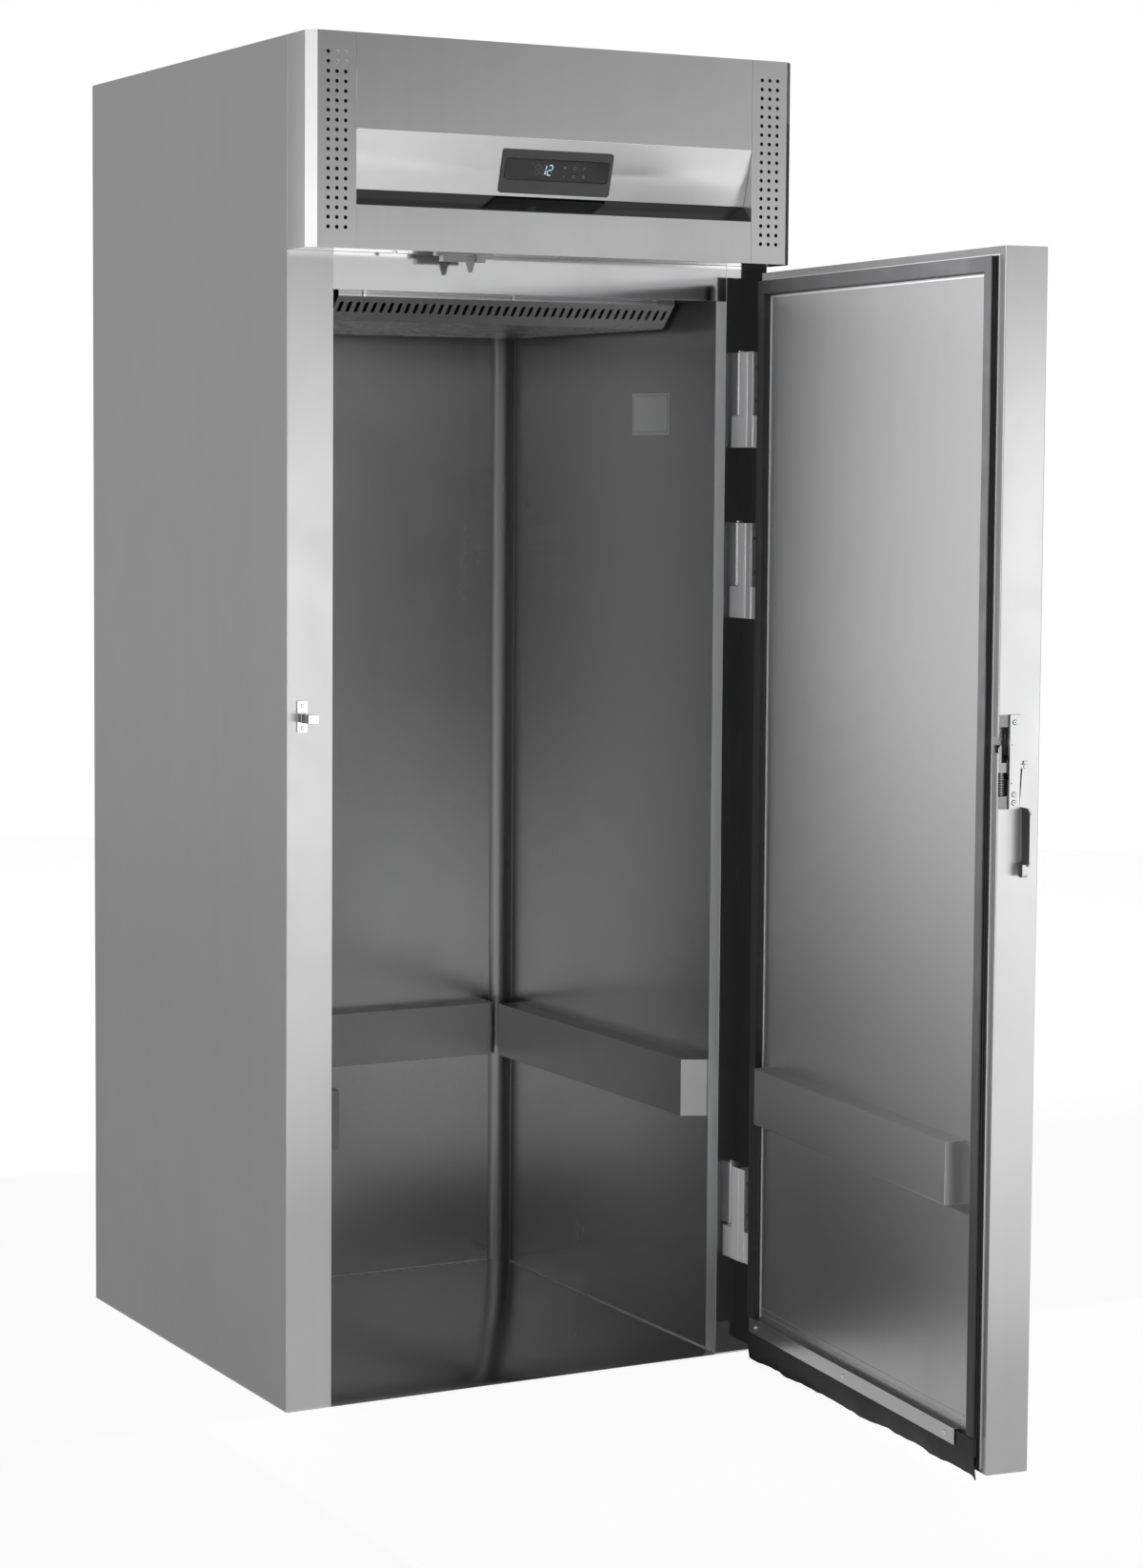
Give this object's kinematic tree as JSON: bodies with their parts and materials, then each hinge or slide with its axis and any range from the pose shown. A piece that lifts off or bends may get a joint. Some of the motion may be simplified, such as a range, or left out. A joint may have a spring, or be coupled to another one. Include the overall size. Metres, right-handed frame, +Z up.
{
  "type": "roll-in refrigerator",
  "caption": "Stainless roll-in refrigerator with an open hinged door, header with a tilting controller panel, bumper rails, and a flush floor for trolleys.",
  "frame": {"origin": "centre of the cabinet's footprint, on the floor", "axes": "+X to the cabinet's right seen from the front, +Y to its back, +Z up"},
  "size_m": [0.9046, 1.7623, 2.2],
  "materials": {
    "outer_steel": "brushed, number 4 finish",
    "inner_steel": "satin",
    "polished_steel": "bright polished",
    "galvanised": "galvanised sheet",
    "foam": "rigid foam",
    "gasket_rubber": "matt with ribs",
    "sweep_rubber": "slightly glossy",
    "gloss_black": "gloss",
    "fascia_plastic": "fine matt",
    "display_window": "dark tinted window",
    "black_plastic": "matt",
    "switch_plastic": "light grey, matt",
    "zinc_chrome": "bright",
    "fins": "thin fins on copper tube",
    "compressor_black": "black enamel",
    "copper": "copper tube",
    "screws": "passivated",
    "spring_steel": "bright wire",
    "fan_plastic": "matt"
  },
  "bodies": {
    "cabinet": {"left_outer_skin": "outer_steel", "right_outer_skin": "outer_steel", "back_outer_skin": "galvanised", "roof_panel": "galvanised", "left_wall_foam": "foam", "right_wall_foam": "foam", "back_wall_foam": "foam", "roof_foam": "foam", "left_inner_wall": "inner_steel", "right_inner_wall": "inner_steel", "back_inner_wall": "inner_steel", "ceiling_liner": "inner_steel", "corner_coves": "inner_steel", "floor_plate": "inner_steel", "left_jamb": "outer_steel", "right_jamb": "polished_steel", "lintel": "polished_steel", "header_left_cheek": "outer_steel", "header_right_cheek": "outer_steel", "cheek_dust_screens": "black_plastic", "header_soffit": "outer_steel", "header_pivot_pins": "screws", "left_wall_bumper": "inner_steel", "right_wall_bumper": "inner_steel", "back_wall_bumper": "inner_steel", "air_duct_cover": "inner_steel", "cabinet_screws": "screws", "evaporator_coil": "fins", "evaporator_fan_frame": "black_plastic", "compressor": "compressor_black", "condenser_coil": "fins", "condenser_fan_shroud": "black_plastic", "refrigerant_pipes": "copper", "mains_inlet": "black_plastic", "strike": "zinc_chrome", "frame_hinge_leaves": "zinc_chrome", "hinge_pins": "zinc_chrome", "switch_housing": "switch_plastic"},
    "header_panel": {"header_front_panel": "outer_steel", "header_gloss_strip": "gloss_black", "controller_fascia": "fascia_plastic", "controller_display": "display_window"},
    "door": {"door_outer_skin": "outer_steel", "door_inner_pan": "inner_steel", "door_foam": "foam", "door_gasket": "gasket_rubber", "door_bumper_rail": "inner_steel", "door_sweep": "sweep_rubber", "sweep_retainer": "inner_steel", "door_screws": "screws", "door_hinge_leaves": "zinc_chrome", "latch_case": "zinc_chrome", "latch_cover": "outer_steel", "latch_spring": "spring_steel", "handle_pivot": "zinc_chrome"},
    "catch": {"latch_catch": "zinc_chrome"},
    "handle": {"handle_lever": "zinc_chrome"},
    "paddle": {"switch_paddle": "switch_plastic"},
    "evaporator_fan": {"evaporator_fan_rotor": "fan_plastic"},
    "condenser_fan": {"condenser_fan_rotor": "fan_plastic"}
  },
  "joints": [
    {"name": "door_swing", "type": "hinge", "parent": "cabinet", "child": "door", "pos_m": [0.429, -0.475, 0.9], "axis": [0, 0, 1], "range_deg": [-83.5, 26.5]},
    {"name": "panel_tilt", "type": "hinge", "parent": "cabinet", "child": "header_panel", "pos_m": [0, -0.485, 2.19], "axis": [-1, 0, 0], "range_deg": [0, 75]},
    {"name": "handle_turn", "type": "hinge", "parent": "door", "child": "handle", "pos_m": [0.34434, -1.31079, 1.0916], "axis": [-0.1132, -0.9936, 0], "range_deg": [0, 19], "stiffness_Nm_per_rad": 1.5, "springref_deg": -5.73},
    {"name": "catch_slide", "type": "slide", "parent": "door", "child": "catch", "axis": [0, 0, -1], "range_m": [0, 0.008], "deforming": ["latch_spring"]},
    {"name": "paddle_fold", "type": "hinge", "parent": "cabinet", "child": "paddle", "pos_m": [-0.1455, -0.472, 1.8585], "axis": [1, 0, 0], "range_deg": [-27, 83]},
    {"name": "evaporator_fan_spin", "type": "hinge", "parent": "cabinet", "child": "evaporator_fan", "pos_m": [0, -0.24, 1.813], "axis": [1, 0, 0], "continuous": true},
    {"name": "condenser_fan_spin", "type": "hinge", "parent": "cabinet", "child": "condenser_fan", "pos_m": [0.13, -0.31, 2.04], "axis": [0, 1, 0], "continuous": true}
  ],
  "couplings": [
    {"joint": "catch_slide", "follows": "handle_turn", "m_per_rad": 0.024},
    {"joint": "paddle_fold", "follows": "door_swing", "ratio": -0.982}
  ]
}
